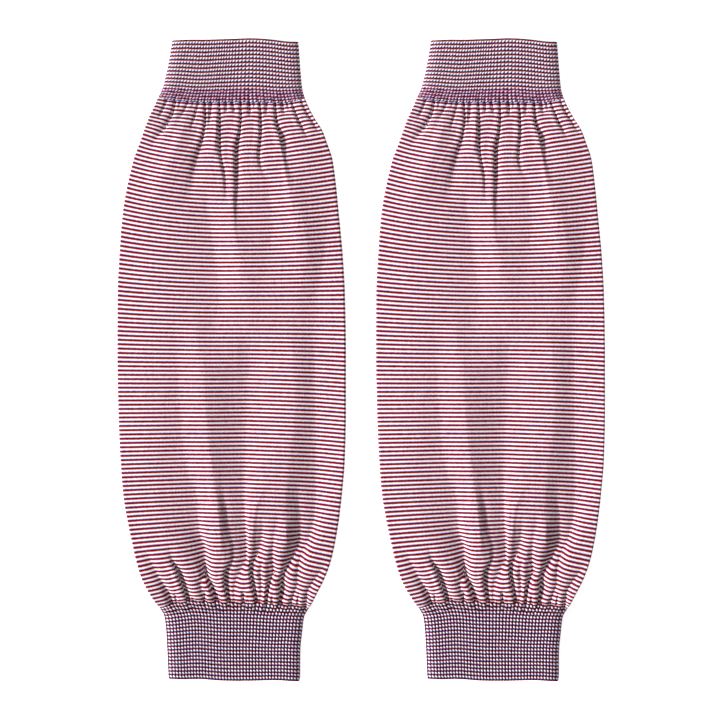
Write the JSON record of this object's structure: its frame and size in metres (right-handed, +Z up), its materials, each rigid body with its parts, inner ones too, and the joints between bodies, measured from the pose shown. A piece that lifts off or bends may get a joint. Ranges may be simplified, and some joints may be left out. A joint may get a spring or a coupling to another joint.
{
  "type": "pair of loose knitted sleeves",
  "caption": "Pair of loose striped knit sleeves, each a full tube gathered into a ribbed cuff at both ends, laid flat side by side.",
  "frame": {"origin": "middle of the pair as seen from above, on the surface that both sleeves lie on", "axes": "+Y along both sleeves towards their upper cuffs, +X across from the left sleeve to the right one, +Z up from the surface"},
  "size_m": [0.3418, 0.449, 0.0109],
  "materials": {
    "striped_jersey": "matt cotton jersey in fine white, burgundy and navy stripes",
    "rib_knit": "matt 1 by 1 rib knit in the same yarns"
  },
  "bodies": {
    "root": {"left_body": "striped_jersey", "left_upper_cuff": "rib_knit", "left_lower_cuff": "rib_knit", "right_body": "striped_jersey", "right_upper_cuff": "rib_knit", "right_lower_cuff": "rib_knit"}
  },
  "joints": []
}
